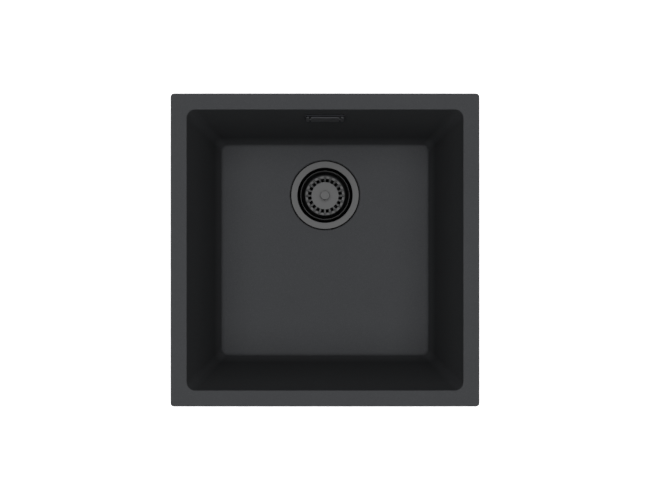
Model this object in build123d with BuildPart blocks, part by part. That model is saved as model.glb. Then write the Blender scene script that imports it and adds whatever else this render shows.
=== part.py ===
from build123d import *
from math import cos, floor, radians, sin, tan
import os

# Undermount kitchen sink: a moulded stone-composite bowl, a basket strainer waste and a
# concealed overflow. Sizes are in millimetres. The origin is the centre of the bowl opening
# in the plane of the rim's top face, which meets the underside of the worktop.
# +Z is up, +X is to the right and +Y points to the back, where drain and overflow are.

# Bowl
SINK_WIDTH = 440.0
SINK_LENGTH = 446.0
RIM_WIDTH = 23.0
RIM_THICKNESS = 10.0
BOWL_DEPTH = 200.0
WALL_DRAFT = 7.0
WALL_THICKNESS = 8.0
FLOOR_THICKNESS = 10.0
RIM_CORNER_RADIUS = 5.0
OPENING_CORNER_RADIUS = 12.0
FLOOR_FILLET = 8.0
FLOOR_CORNER_FLAT = 4.0
RIM_EDGE_ROUND = 2.0
RIM_UNDER_EDGE_ROUND = 1.0
OPENING_EDGE_ROUND = 1.5
RIM_ROOT_FILLET = 4.0

# Drain hole and its recess in the floor
DRAIN_SETBACK = 131.0
DRAIN_HOLE_RADIUS = 48.3
FLANGE_OVERLAP = 8.1
FLANGE_GAP = 2.9
RECESS_EDGE_ROUND = 0.8
DRAIN_BOSS_HEIGHT = 3.0
DRAIN_BOSS_MARGIN = 4.0
DRAIN_BOSS_CHAMFER = 2.0

# Strainer cup
CUP_SHEET = 1.2
CUP_HOLE_CLEARANCE = 1.8
CUP_MOUTH_ROUND = 1.6
CUP_SEAT_DROP = 6.5
CUP_SEAT_HEIGHT = 5.0
CUP_SEAT_WIDTH = 5.7
CUP_TAPER = 1.5
CUP_DEPTH = 38.0
CUP_DISH = 10.0
CUP_CENTRE_MARGIN = 2.5
CUP_BEND = 2.0
CUP_BOTTOM_ROUND = 4.0
CUP_SLOT_COUNT = 8
CUP_SLOT_LENGTH = 17.0
CUP_SLOT_WIDTH = 6.5
CUP_SLOT_CIRCLE = 24.5
STRAINER_GASKET_THICKNESS = 1.5
GASKET_INSET = 0.8

# Strainer basket
BASKET_SHEET = 0.9
BASKET_CLEARANCE = 5.15
BASKET_RIM_DROP = 1.5
BASKET_BEAD = 0.8
TROUGH_CLEARANCE = 3.1
TROUGH_DROP = 14.1
TROUGH_BEND = 7.0
HAT_RADIUS = 22.9
HAT_DROP = 13.0
HAT_FLARE = 5.0
HAT_BEND = 1.5
STRAINER_SLOT_COUNT = 20
STRAINER_SLOT_WIDTH = 5.1
STRAINER_SLOT_ROUND = 1.2
STRAINER_SLOT_OVERRUN = 1.3
PETAL_CROWN = 0.85
PETAL_CREASE = 0.6
SEAL_TOP_DROP = 8.5
SEAL_HEIGHT = 2.8
SEAL_SEAT_GAP = 0.25
SEAL_EDGE_ROUND = 0.4
KNOB_RADIUS = 7.5
KNOB_HEIGHT = 12.5
KNOB_NECK_RADIUS = 5.6
KNOB_CAP_HEIGHT = 5.0
KNOB_UNDERCUT = 2.5
KNOB_EDGE_ROUND = 0.4
KNOB_FOOT_FLARE = 1.2
STEM_RADIUS = 5.0
STUD_RADIUS = 2.5
STUD_LENGTH = 7.0
STEM_HEAD_GAP = 1.5
STEM_TIP_GAP = 0.8
STEM_TIP_CHAMFER = 0.8
STEM_CLEARANCE = 0.15
STEM_RING_SECTION = 0.4
STEM_RING_LIFT = 2.5
FIT_GAP = 0.05

# Clamp screw, washer and nut
CLAMP_RADIUS = 4.0
CLAMP_HOLE_CLEARANCE = 0.5
CLAMP_HEAD_RADIUS = 8.0
CLAMP_HEAD_HEIGHT = 8.0
CLAMP_HEAD_CHAMFER = 0.8
CLAMP_SOCKET_RADIUS = 3.6
CLAMP_SOCKET_FLOOR = 1.5
CLAMP_DRIVE_WIDTH = 1.6
CLAMP_DRIVE_DEPTH = 2.5
CLAMP_TIP = 3.0
CLAMP_TIP_CHAMFER = 1.0
WASHER_RADIUS = 10.5
WASHER_THICKNESS = 1.2
NUT_FLATS = 13.0
NUT_HEIGHT = 6.5
NUT_POCKET_CLEARANCE = 0.15

# Waste body
BODY_GASKET_THICKNESS = 2.5
BODY_CLEARANCE = 0.8
BODY_WALL = 3.0
BODY_FLANGE_WIDTH = 14.5
BODY_FLANGE_THICKNESS = 4.0
BODY_GUSSET_COUNT = 12
BODY_GUSSET_THICKNESS = 2.5
BODY_GUSSET_HEIGHT = 9.0
BODY_GUSSET_SETBACK = 3.0
HUB_RADIUS = 11.5
HUB_GAP = 2.0
HUB_ROOF = 4.0
HUB_RIB_COUNT = 4
HUB_RIB_THICKNESS = 3.0
FUNNEL_HEIGHT = 16.0
FUNNEL_LIP_HEIGHT = 2.0
FUNNEL_LIP_WALL = 2.0
OUTLET_RADIUS = 23.9
OUTLET_BORE = 20.0
OUTLET_LENGTH = 26.0
OUTLET_CHAMFER = 1.0

# Overflow in the back wall
OVERFLOW_DROP = 32.5
OVERFLOW_SLOT_WIDTH = 44.0
OVERFLOW_SLOT_HEIGHT = 14.0
OVERFLOW_SLOT_RADIUS = 6.0
FRONT_GASKET_THICKNESS = 1.0
REAR_GASKET_THICKNESS = 2.0
FRAME_WIDTH = 57.0
FRAME_HEIGHT = 21.0
FRAME_THICKNESS = 2.0
FRAME_CORNER_RADIUS = 2.0
SLEEVE_CLEARANCE = 0.5
SLEEVE_WALL = 1.5
SLEEVE_END_GAP = 0.5
FRAME_BAR_WIDTH = 10.0
FRAME_BAR_DEPTH = 9.0
COVER_INSET = 1.0
COVER_THICKNESS = 1.6
COVER_STANDOFF = 1.2
COVER_REST_GAP = 0.1
COVER_EDGE_ROUND = 0.4
NOTCH_CENTRE = 21.8
NOTCH_WIDTH = 2.5
NOTCH_DEPTH = 8.0
COVER_LEG_CENTRE = 13.0
COVER_LEG_WIDTH = 8.0
COVER_LEG_THICKNESS = 1.2
COVER_LEG_LENGTH = 6.5
COVER_LEG_CLEARANCE = 0.2
COVER_PAD_RADIUS = 1.3
COVER_PAD_INSET = 3.0
OVERFLOW_SCREW_RADIUS = 2.0
OVERFLOW_SCREW_HEAD_RADIUS = 3.8
OVERFLOW_SCREW_LENGTH = 24.0
OVERFLOW_SCREW_CLEARANCE = 0.3
OVERFLOW_SCREW_TIP_GAP = 2.0
OVERFLOW_DRIVE_RADIUS = 1.3
OVERFLOW_DRIVE_DEPTH = 1.4
ELBOW_FLANGE_WIDTH = 66.0
ELBOW_FLANGE_HEIGHT = 32.0
ELBOW_FLANGE_THICKNESS = 3.0
ELBOW_FLANGE_RADIUS = 8.0
ELBOW_WALL = 2.0
ELBOW_WIDTH = 52.0
ELBOW_TOP = 11.0
ELBOW_TOP_DEPTH = 8.0
ELBOW_SHOULDER = 2.0
ELBOW_BOTTOM = 13.0
ELBOW_EDGE_ROUND = 1.5
ELBOW_POST_RADIUS = 4.5

# Overflow pipe and its unions
PIPE_CREST_RADIUS = 10.0
PIPE_VALLEY_RADIUS = 8.9
PIPE_BORE = 7.8
PIPE_RIB_PITCH = 4.0
PIPE_CUFF_RADIUS = 9.6
PIPE_CUFF_LENGTH = 12.0
PIPE_COLLAR_RADIUS = 11.6
PIPE_COLLAR_THICKNESS = 2.0
UNION_THREAD_RADIUS = 12.0
UNION_THREAD_LENGTH = 12.5
UNION_SEAL_THICKNESS = 2.0
UNION_SEAL_INSET = 0.4
UNION_NUT_RADIUS = 14.8
UNION_NUT_GRIP = 10.0
UNION_NUT_LIP = 3.0
UNION_NUT_CLEARANCE = 0.15
UNION_LIP_CLEARANCE = 0.4
UNION_NUT_CHAMFER = 1.0
UNION_FLUTE_COUNT = 12
UNION_FLUTE_RADIUS = 1.6
UNION_WALL_CLEARANCE = 1.0
INLET_FLANGE_CLEARANCE = 3.0

# Levels and shared places
draft = radians(WALL_DRAFT)
wall_across = WALL_THICKNESS / cos(draft)
floor_z = -BOWL_DEPTH
underside_z = floor_z - FLOOR_THICKNESS
boss_z = underside_z - DRAIN_BOSS_HEIGHT
body_top_z = boss_z - BODY_GASKET_THICKNESS
cup_floor_z = floor_z - CUP_DEPTH
hub_top_z = cup_floor_z - CUP_SHEET - HUB_GAP
nut_top_z = hub_top_z - HUB_ROOF
hub_bottom_z = nut_top_z - NUT_HEIGHT
inlet_z = body_top_z - BODY_FLANGE_THICKNESS - UNION_NUT_RADIUS - INLET_FLANGE_CLEARANCE
funnel_top_z = min(inlet_z - UNION_NUT_RADIUS, hub_bottom_z) - BODY_WALL
outlet_top_z = funnel_top_z - FUNNEL_HEIGHT
outlet_bottom_z = outlet_top_z - OUTLET_LENGTH

drain_offset = SINK_LENGTH / 2 - DRAIN_SETBACK
flange_radius = DRAIN_HOLE_RADIUS + FLANGE_OVERLAP
recess_radius = flange_radius + FLANGE_GAP
recess_depth = CUP_SHEET + STRAINER_GASKET_THICKNESS
boss_radius = recess_radius + DRAIN_BOSS_MARGIN
cup_mouth_radius = DRAIN_HOLE_RADIUS - CUP_HOLE_CLEARANCE - CUP_SHEET
cup_throat_radius = cup_mouth_radius - CUP_SEAT_WIDTH
body_bore = cup_mouth_radius + CUP_SHEET + BODY_CLEARANCE
body_radius = body_bore + BODY_WALL
body_flange_radius = body_bore + BODY_FLANGE_WIDTH
basket_rim_radius = cup_mouth_radius - BASKET_CLEARANCE
trough_outer_radius = cup_throat_radius - TROUGH_CLEARANCE
trough_inner_radius = HAT_RADIUS + HAT_FLARE

drain_axis = Axis((0, drain_offset, 0), (0, 0, 1))
drain_profile = Plane(origin=(0, drain_offset, 0), x_dir=(1, 0, 0), z_dir=(0, -1, 0))


def drain_plane(level):
    """Horizontal plane on the drain axis at one level."""
    return Plane((0, drain_offset, level))


wall_normal = (0, -cos(draft), sin(draft))
wall_down = (0, -sin(draft), -cos(draft))
overflow_centre = (0, SINK_LENGTH / 2 - RIM_WIDTH - OVERFLOW_DROP * tan(draft), -OVERFLOW_DROP)
overflow_plane = Plane(overflow_centre, x_dir=(1, 0, 0), z_dir=wall_normal)
overflow_side = Plane(overflow_centre, x_dir=wall_normal, z_dir=(-1, 0, 0))
frame_back = FRONT_GASKET_THICKNESS
frame_front = frame_back + FRAME_THICKNESS
cover_back = frame_front + COVER_STANDOFF
elbow_front = -WALL_THICKNESS - REAR_GASKET_THICKNESS
nozzle_setback = WALL_THICKNESS + UNION_NUT_RADIUS + UNION_WALL_CLEARANCE
nozzle_drop = ELBOW_FLANGE_HEIGHT / 2 + UNION_WALL_CLEARANCE + UNION_NUT_GRIP
nozzle_length = nozzle_drop - ELBOW_BOTTOM
upper_mouth = Plane(
    overflow_plane.from_local_coords((0, -nozzle_drop, -nozzle_setback)),
    x_dir=(1, 0, 0),
    z_dir=wall_down,
)
lower_mouth = Plane(
    (0, drain_offset + body_radius + UNION_THREAD_LENGTH, inlet_z),
    x_dir=(1, 0, 0),
    z_dir=(0, 1, 0),
)


def bowl_block(grow, top_z, bottom_z, edge_radius):
    """Tapered block with the bowl's outline, grown sideways, rounded round its bottom edge."""
    with BuildPart() as block:
        for level in (top_z, bottom_z):
            share = level / floor_z
            inset = -level * tan(draft)
            corner = OPENING_CORNER_RADIUS
            corner += (FLOOR_FILLET + FLOOR_CORNER_FLAT - OPENING_CORNER_RADIUS) * share
            with BuildSketch(Plane.XY.offset(level)):
                RectangleRounded(
                    SINK_WIDTH - 2 * (RIM_WIDTH + inset - grow),
                    SINK_LENGTH - 2 * (RIM_WIDTH + inset - grow),
                    corner + grow,
                )
        loft(ruled=True)
        fillet(block.faces().sort_by(Axis.Z)[0].edges(), edge_radius)
    return block.part


outer_block = bowl_block(
    wall_across, -RIM_THICKNESS / 2, underside_z, FLOOR_FILLET + WALL_THICKNESS
)
inner_block = bowl_block(0, 0, floor_z, FLOOR_FILLET)

# Moulded bowl with its rim, drain recess and overflow slot
with BuildPart() as sink_bowl:
    with BuildSketch():
        RectangleRounded(SINK_WIDTH, SINK_LENGTH, RIM_CORNER_RADIUS)
    extrude(amount=-RIM_THICKNESS)
    fillet(sink_bowl.faces().sort_by(Axis.Z)[-1].edges(), RIM_EDGE_ROUND)
    fillet(sink_bowl.faces().sort_by(Axis.Z)[0].edges(), RIM_UNDER_EDGE_ROUND)
    add(outer_block)
    rim_underside = sink_bowl.faces().filter_by_position(
        Axis.Z, -RIM_THICKNESS - FIT_GAP, -RIM_THICKNESS + FIT_GAP
    )
    fillet(rim_underside[0].inner_wires()[0].edges(), RIM_ROOT_FILLET)
    with BuildSketch(drain_plane(underside_z)):
        Circle(boss_radius)
    extrude(amount=-DRAIN_BOSS_HEIGHT)
    chamfer(sink_bowl.faces().sort_by(Axis.Z)[0].edges(), DRAIN_BOSS_CHAMFER)
    add(inner_block, mode=Mode.SUBTRACT)
    fillet(sink_bowl.faces().sort_by(Axis.Z)[-1].inner_wires()[0].edges(), OPENING_EDGE_ROUND)
    with Locations(drain_plane(floor_z)):
        CounterBoreHole(DRAIN_HOLE_RADIUS, recess_radius, recess_depth)
    bowl_floor = sink_bowl.faces().filter_by_position(
        Axis.Z, floor_z - FIT_GAP, floor_z + FIT_GAP
    )
    fillet(bowl_floor[0].inner_wires()[0].edges(), RECESS_EDGE_ROUND)
    with BuildSketch(overflow_plane):
        RectangleRounded(OVERFLOW_SLOT_WIDTH, OVERFLOW_SLOT_HEIGHT, OVERFLOW_SLOT_RADIUS)
    extrude(amount=WALL_THICKNESS * 2, both=True, mode=Mode.SUBTRACT)

# Pressed strainer cup: flange in the recess, rounded mouth, conical seat, dished slotted bottom
with BuildPart() as strainer_cup:
    with BuildSketch(drain_profile):
        with BuildLine():
            FilletPolyline(
                (flange_radius, floor_z),
                (cup_mouth_radius, floor_z),
                (cup_mouth_radius, floor_z - CUP_SEAT_DROP),
                (cup_throat_radius, floor_z - CUP_SEAT_DROP - CUP_SEAT_HEIGHT),
                (cup_throat_radius - CUP_TAPER, cup_floor_z + CUP_DISH),
                (WASHER_RADIUS + CUP_CENTRE_MARGIN, cup_floor_z),
                (CLAMP_RADIUS + CLAMP_HOLE_CLEARANCE, cup_floor_z),
                radius=(CUP_MOUTH_ROUND, CUP_BEND, CUP_BEND, CUP_BOTTOM_ROUND, CUP_BEND),
            )
            offset(amount=CUP_SHEET, side=Side.LEFT)
        make_face()
    revolve(axis=drain_axis)
    with BuildSketch(drain_plane(cup_floor_z)):
        with PolarLocations(CUP_SLOT_CIRCLE, CUP_SLOT_COUNT):
            SlotOverall(CUP_SLOT_LENGTH, CUP_SLOT_WIDTH)
    extrude(amount=CUP_DISH + CUP_SHEET, both=True, mode=Mode.SUBTRACT)

# Flat gaskets above and below the bowl floor
with BuildPart() as strainer_gasket:
    with BuildSketch(drain_plane(floor_z - recess_depth)):
        Circle(recess_radius - GASKET_INSET)
        Circle(DRAIN_HOLE_RADIUS + GASKET_INSET, mode=Mode.SUBTRACT)
    extrude(amount=STRAINER_GASKET_THICKNESS)

with BuildPart() as body_gasket:
    with BuildSketch(drain_plane(body_top_z)):
        Circle(body_flange_radius - GASKET_INSET)
        Circle(DRAIN_HOLE_RADIUS + GASKET_INSET, mode=Mode.SUBTRACT)
    extrude(amount=BODY_GASKET_THICKNESS)

# Waste body: flange on gussets, hub on ribs and overflow inlet
with BuildPart() as waste_body:
    with BuildSketch(drain_profile):
        with BuildLine():
            Polyline(
                (body_bore, body_top_z),
                (body_flange_radius, body_top_z),
                (body_flange_radius, body_top_z - BODY_FLANGE_THICKNESS),
                (body_radius, body_top_z - BODY_FLANGE_THICKNESS),
                (body_radius, funnel_top_z),
                (body_bore, funnel_top_z),
                close=True,
            )
        make_face()
    revolve(axis=drain_axis)
    gusset_root = body_radius - BODY_WALL / 2
    gusset_top_z = body_top_z - BODY_FLANGE_THICKNESS / 2
    gusset_bottom_z = body_top_z - BODY_FLANGE_THICKNESS - BODY_GUSSET_HEIGHT
    with BuildSketch(drain_profile):
        with BuildLine():
            Polyline(
                (gusset_root, gusset_top_z),
                (body_flange_radius - BODY_GUSSET_SETBACK, gusset_top_z),
                (body_flange_radius - BODY_GUSSET_SETBACK, body_top_z - BODY_FLANGE_THICKNESS),
                (body_radius, gusset_bottom_z),
                (gusset_root, gusset_bottom_z),
                close=True,
            )
        make_face()
    gusset = extrude(amount=BODY_GUSSET_THICKNESS / 2, both=True, mode=Mode.PRIVATE)
    gusset_step = 360 / BODY_GUSSET_COUNT
    for index in range(BODY_GUSSET_COUNT):
        add(gusset.rotate(drain_axis, (index + 0.5) * gusset_step))
    with BuildSketch(drain_plane(hub_bottom_z)):
        Circle(HUB_RADIUS)
    extrude(amount=hub_top_z - hub_bottom_z)
    with BuildSketch(drain_plane(hub_bottom_z)):
        with PolarLocations(0, HUB_RIB_COUNT, start_angle=45):
            with Locations(((HUB_RADIUS + body_bore) / 2, 0)):
                Rectangle(body_bore - HUB_RADIUS + BODY_WALL, HUB_RIB_THICKNESS)
    extrude(amount=hub_top_z - hub_bottom_z - HUB_GAP)
    with BuildSketch(drain_plane(hub_bottom_z)):
        RegularPolygon(NUT_FLATS / 2 + NUT_POCKET_CLEARANCE, 6, major_radius=False)
    extrude(amount=NUT_HEIGHT, mode=Mode.SUBTRACT)
    with Locations(drain_plane(hub_top_z)):
        Hole(CLAMP_RADIUS + CLAMP_HOLE_CLEARANCE, depth=HUB_ROOF * 2)
    with BuildSketch(lower_mouth):
        Circle(UNION_THREAD_RADIUS)
    extrude(amount=-UNION_THREAD_LENGTH - BODY_WALL)
    with BuildSketch(lower_mouth):
        Circle(PIPE_BORE)
    extrude(amount=-UNION_THREAD_LENGTH - BODY_WALL * 3, mode=Mode.SUBTRACT)

# Outlet funnel, welded to the waste body in a lip, with the threaded outlet
lip_bore = body_radius + FIT_GAP
lip_radius = lip_bore + FUNNEL_LIP_WALL
with BuildPart() as outlet_funnel:
    with BuildSketch(drain_profile):
        with BuildLine():
            Polyline(
                (body_bore, funnel_top_z),
                (lip_bore, funnel_top_z),
                (lip_bore, funnel_top_z + FUNNEL_LIP_HEIGHT),
                (lip_radius, funnel_top_z + FUNNEL_LIP_HEIGHT),
                (lip_radius, funnel_top_z - FUNNEL_LIP_HEIGHT),
                (OUTLET_RADIUS, outlet_top_z),
                (OUTLET_RADIUS, outlet_bottom_z),
                (OUTLET_BORE, outlet_bottom_z),
                (OUTLET_BORE, outlet_top_z),
                close=True,
            )
        make_face()
    revolve(axis=drain_axis)
    chamfer(outlet_funnel.faces().sort_by(Axis.Z)[0].outer_wire().edges(), OUTLET_CHAMFER)

# Clamp screw with the stem's socket in its head, washer and nut
head_bottom_z = cup_floor_z + WASHER_THICKNESS
head_top_z = head_bottom_z + CLAMP_HEAD_HEIGHT
socket_floor_z = head_bottom_z + CLAMP_SOCKET_FLOOR
with BuildPart() as clamp_screw:
    with BuildSketch(drain_plane(head_bottom_z)):
        Circle(CLAMP_HEAD_RADIUS)
    extrude(amount=CLAMP_HEAD_HEIGHT)
    chamfer(clamp_screw.faces().sort_by(Axis.Z)[-1].edges(), CLAMP_HEAD_CHAMFER)
    with BuildSketch(drain_plane(head_bottom_z)):
        Circle(CLAMP_RADIUS)
    extrude(amount=hub_bottom_z - CLAMP_TIP - head_bottom_z)
    chamfer(clamp_screw.faces().sort_by(Axis.Z)[0].edges(), CLAMP_TIP_CHAMFER)
    with Locations(drain_plane(head_top_z)):
        Hole(CLAMP_SOCKET_RADIUS, depth=CLAMP_HEAD_HEIGHT - CLAMP_SOCKET_FLOOR)
    with BuildSketch(drain_plane(head_top_z)):
        Rectangle(CLAMP_HEAD_RADIUS * 3, CLAMP_DRIVE_WIDTH)
    extrude(amount=-CLAMP_DRIVE_DEPTH, mode=Mode.SUBTRACT)

with BuildPart() as clamp_washer:
    with BuildSketch(drain_plane(cup_floor_z)):
        Circle(WASHER_RADIUS)
        Circle(CLAMP_RADIUS + CLAMP_HOLE_CLEARANCE, mode=Mode.SUBTRACT)
    extrude(amount=WASHER_THICKNESS)

with BuildPart() as clamp_nut:
    with BuildSketch(drain_plane(hub_bottom_z)):
        RegularPolygon(NUT_FLATS / 2, 6, major_radius=False)
        Circle(CLAMP_RADIUS + FIT_GAP, mode=Mode.SUBTRACT)
    extrude(amount=NUT_HEIGHT)

# One crowned petal of the basket's trough, widening outwards, with a crease to its neighbours
disc_z = floor_z - HAT_DROP
trough_z = floor_z - TROUGH_DROP
basket_rim_z = floor_z - BASKET_RIM_DROP
petal_half_angle = radians(180 / STRAINER_SLOT_COUNT)
with BuildPart() as petal_block:
    for radius in (trough_inner_radius, trough_outer_radius - TROUGH_BEND / 2):
        half_width = radius * tan(petal_half_angle) - PETAL_CREASE / 2
        with BuildSketch(Plane((radius, drain_offset, trough_z), x_dir=(0, 1, 0), z_dir=(1, 0, 0))):
            with BuildLine():
                ThreePointArc((-half_width, 0), (0, PETAL_CROWN), (half_width, 0))
                Polyline(
                    (half_width, 0),
                    (half_width, -BASKET_SHEET / 2),
                    (-half_width, -BASKET_SHEET / 2),
                    (-half_width, 0),
                )
            make_face()
    loft(ruled=True)
petal = petal_block.part

# Strainer basket: rim bead, steep wall, trough of petals, slotted hat with a flat disc
with BuildPart() as basket:
    with BuildSketch(drain_profile):
        with BuildLine():
            FilletPolyline(
                (basket_rim_radius, basket_rim_z),
                (trough_outer_radius, trough_z),
                (trough_inner_radius, trough_z),
                (HAT_RADIUS, disc_z),
                (STUD_RADIUS + FIT_GAP, disc_z),
                radius=(TROUGH_BEND, HAT_BEND, HAT_BEND),
            )
            offset(amount=BASKET_SHEET, side=Side.LEFT)
        make_face()
        with Locations((basket_rim_radius + BASKET_SHEET / 2, basket_rim_z)):
            Circle(BASKET_BEAD)
    revolve(axis=drain_axis)
    slot_step = 360 / STRAINER_SLOT_COUNT
    for index in range(STRAINER_SLOT_COUNT):
        add(petal.rotate(drain_axis, (index + 0.5) * slot_step))
    slot_length = HAT_FLARE + STRAINER_SLOT_OVERRUN
    slot_centre = HAT_RADIUS + slot_length / 2
    with BuildSketch(drain_plane(disc_z)):
        with PolarLocations(slot_centre, STRAINER_SLOT_COUNT, start_angle=slot_step / 2):
            RectangleRounded(slot_length, STRAINER_SLOT_WIDTH, STRAINER_SLOT_ROUND)
    extrude(amount=TROUGH_DROP - HAT_DROP + BASKET_SHEET, both=True, mode=Mode.SUBTRACT)

# Rubber ring between the basket wall and the conical seat of the cup
wall_slope = (basket_rim_radius - trough_outer_radius) / (TROUGH_DROP - BASKET_RIM_DROP)
seat_slope = CUP_SEAT_WIDTH / CUP_SEAT_HEIGHT


def basket_outside(drop):
    """Outer radius of the basket wall at a depth below the bowl floor."""
    skin = BASKET_SHEET * (1 + wall_slope**2) ** 0.5
    return basket_rim_radius - (drop - BASKET_RIM_DROP) * wall_slope + skin


def seat_inside(drop):
    """Radius of the cup's conical seat at a depth below the bowl floor."""
    return cup_mouth_radius - (drop - CUP_SEAT_DROP) * seat_slope


seal_bottom_drop = SEAL_TOP_DROP + SEAL_HEIGHT
with BuildPart() as basket_seal:
    with BuildSketch(drain_profile):
        with BuildLine():
            Polyline(
                (basket_outside(SEAL_TOP_DROP) + FIT_GAP, floor_z - SEAL_TOP_DROP),
                (seat_inside(SEAL_TOP_DROP) - SEAL_SEAT_GAP, floor_z - SEAL_TOP_DROP),
                (seat_inside(seal_bottom_drop) - SEAL_SEAT_GAP, floor_z - seal_bottom_drop),
                (basket_outside(seal_bottom_drop) + FIT_GAP, floor_z - seal_bottom_drop),
                close=True,
            )
        seal_profile = make_face()
        fillet(seal_profile.vertices(), SEAL_EDGE_ROUND)
    revolve(axis=drain_axis)

# Turned knob on the disc, screwed to the stem below it
knob_top_z = disc_z + KNOB_HEIGHT
with BuildPart() as basket_knob:
    with BuildSketch(drain_profile):
        with BuildLine():
            Polyline(
                (0, knob_top_z),
                (KNOB_RADIUS, knob_top_z),
                (KNOB_RADIUS, knob_top_z - KNOB_CAP_HEIGHT),
                (KNOB_NECK_RADIUS, knob_top_z - KNOB_CAP_HEIGHT - KNOB_UNDERCUT),
                (KNOB_NECK_RADIUS, disc_z + KNOB_FOOT_FLARE),
                (KNOB_NECK_RADIUS + KNOB_FOOT_FLARE, disc_z),
                (0, disc_z),
                close=True,
            )
        make_face()
    revolve(axis=drain_axis)
    fillet(basket_knob.faces().sort_by(Axis.Z)[-1].edges(), KNOB_EDGE_ROUND)
    with BuildSketch(drain_plane(disc_z)):
        Circle(STUD_RADIUS + FIT_GAP)
    extrude(amount=STUD_LENGTH, mode=Mode.SUBTRACT)

pin_radius = CLAMP_SOCKET_RADIUS - STEM_CLEARANCE
stem_tip_z = socket_floor_z + STEM_TIP_GAP
stem_shoulder_z = head_top_z + STEM_HEAD_GAP
ring_z = stem_tip_z + STEM_RING_LIFT
ring_centre = CLAMP_SOCKET_RADIUS - FIT_GAP - STEM_RING_SECTION
with BuildPart() as basket_stem:
    with BuildSketch(drain_profile):
        with BuildLine():
            Polyline(
                (0, disc_z + STUD_LENGTH - FIT_GAP),
                (STUD_RADIUS, disc_z + STUD_LENGTH - FIT_GAP),
                (STUD_RADIUS, disc_z - BASKET_SHEET),
                (STEM_RADIUS, disc_z - BASKET_SHEET),
                (STEM_RADIUS, stem_shoulder_z),
                (pin_radius, stem_shoulder_z),
                (pin_radius, stem_tip_z + STEM_TIP_CHAMFER),
                (pin_radius - STEM_TIP_CHAMFER, stem_tip_z),
                (0, stem_tip_z),
                close=True,
            )
        make_face()
        with Locations((ring_centre, ring_z)):
            Circle(STEM_RING_SECTION + FIT_GAP, mode=Mode.SUBTRACT)
    revolve(axis=drain_axis)

with BuildPart() as stem_ring:
    with BuildSketch(drain_profile):
        with Locations((ring_centre, ring_z)):
            Circle(STEM_RING_SECTION)
    revolve(axis=drain_axis)

# Overflow: gaskets on both faces of the wall
with BuildPart() as overflow_front_gasket:
    with BuildSketch(overflow_plane):
        RectangleRounded(
            FRAME_WIDTH - 2 * GASKET_INSET, FRAME_HEIGHT - 2 * GASKET_INSET, FRAME_CORNER_RADIUS
        )
        RectangleRounded(
            OVERFLOW_SLOT_WIDTH, OVERFLOW_SLOT_HEIGHT, OVERFLOW_SLOT_RADIUS, mode=Mode.SUBTRACT
        )
    extrude(amount=FRONT_GASKET_THICKNESS)

with BuildPart() as overflow_rear_gasket:
    with BuildSketch(overflow_plane.offset(elbow_front)):
        RectangleRounded(
            ELBOW_FLANGE_WIDTH - 2 * GASKET_INSET,
            ELBOW_FLANGE_HEIGHT - 2 * GASKET_INSET,
            ELBOW_FLANGE_RADIUS,
        )
        RectangleRounded(
            OVERFLOW_SLOT_WIDTH, OVERFLOW_SLOT_HEIGHT, OVERFLOW_SLOT_RADIUS, mode=Mode.SUBTRACT
        )
    extrude(amount=REAR_GASKET_THICKNESS)

# Frame on the inside of the wall, with a sleeve through the slot and a bar for the screw
sleeve_width = OVERFLOW_SLOT_WIDTH - 2 * SLEEVE_CLEARANCE
sleeve_height = OVERFLOW_SLOT_HEIGHT - 2 * SLEEVE_CLEARANCE
sleeve_radius = OVERFLOW_SLOT_RADIUS - SLEEVE_CLEARANCE
sleeve_bore_height = sleeve_height - 2 * SLEEVE_WALL
sleeve_depth = frame_front - elbow_front - SLEEVE_END_GAP
with BuildPart() as overflow_frame:
    with BuildSketch(overflow_plane.offset(frame_back)):
        RectangleRounded(FRAME_WIDTH, FRAME_HEIGHT, FRAME_CORNER_RADIUS)
    extrude(amount=FRAME_THICKNESS)
    with BuildSketch(overflow_plane.offset(frame_front)):
        RectangleRounded(sleeve_width, sleeve_height, sleeve_radius)
    extrude(amount=-sleeve_depth)
    with BuildSketch(overflow_plane.offset(frame_front)):
        RectangleRounded(
            sleeve_width - 2 * SLEEVE_WALL, sleeve_bore_height, sleeve_radius - SLEEVE_WALL
        )
    extrude(amount=-sleeve_depth, mode=Mode.SUBTRACT)
    with BuildSketch(overflow_plane.offset(frame_front)):
        Rectangle(FRAME_BAR_WIDTH, sleeve_bore_height)
    extrude(amount=-FRAME_BAR_DEPTH)
    with Locations(overflow_plane.offset(frame_front)):
        CounterSinkHole(
            OVERFLOW_SCREW_RADIUS + OVERFLOW_SCREW_CLEARANCE,
            OVERFLOW_SCREW_HEAD_RADIUS + OVERFLOW_SCREW_CLEARANCE,
        )

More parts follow.
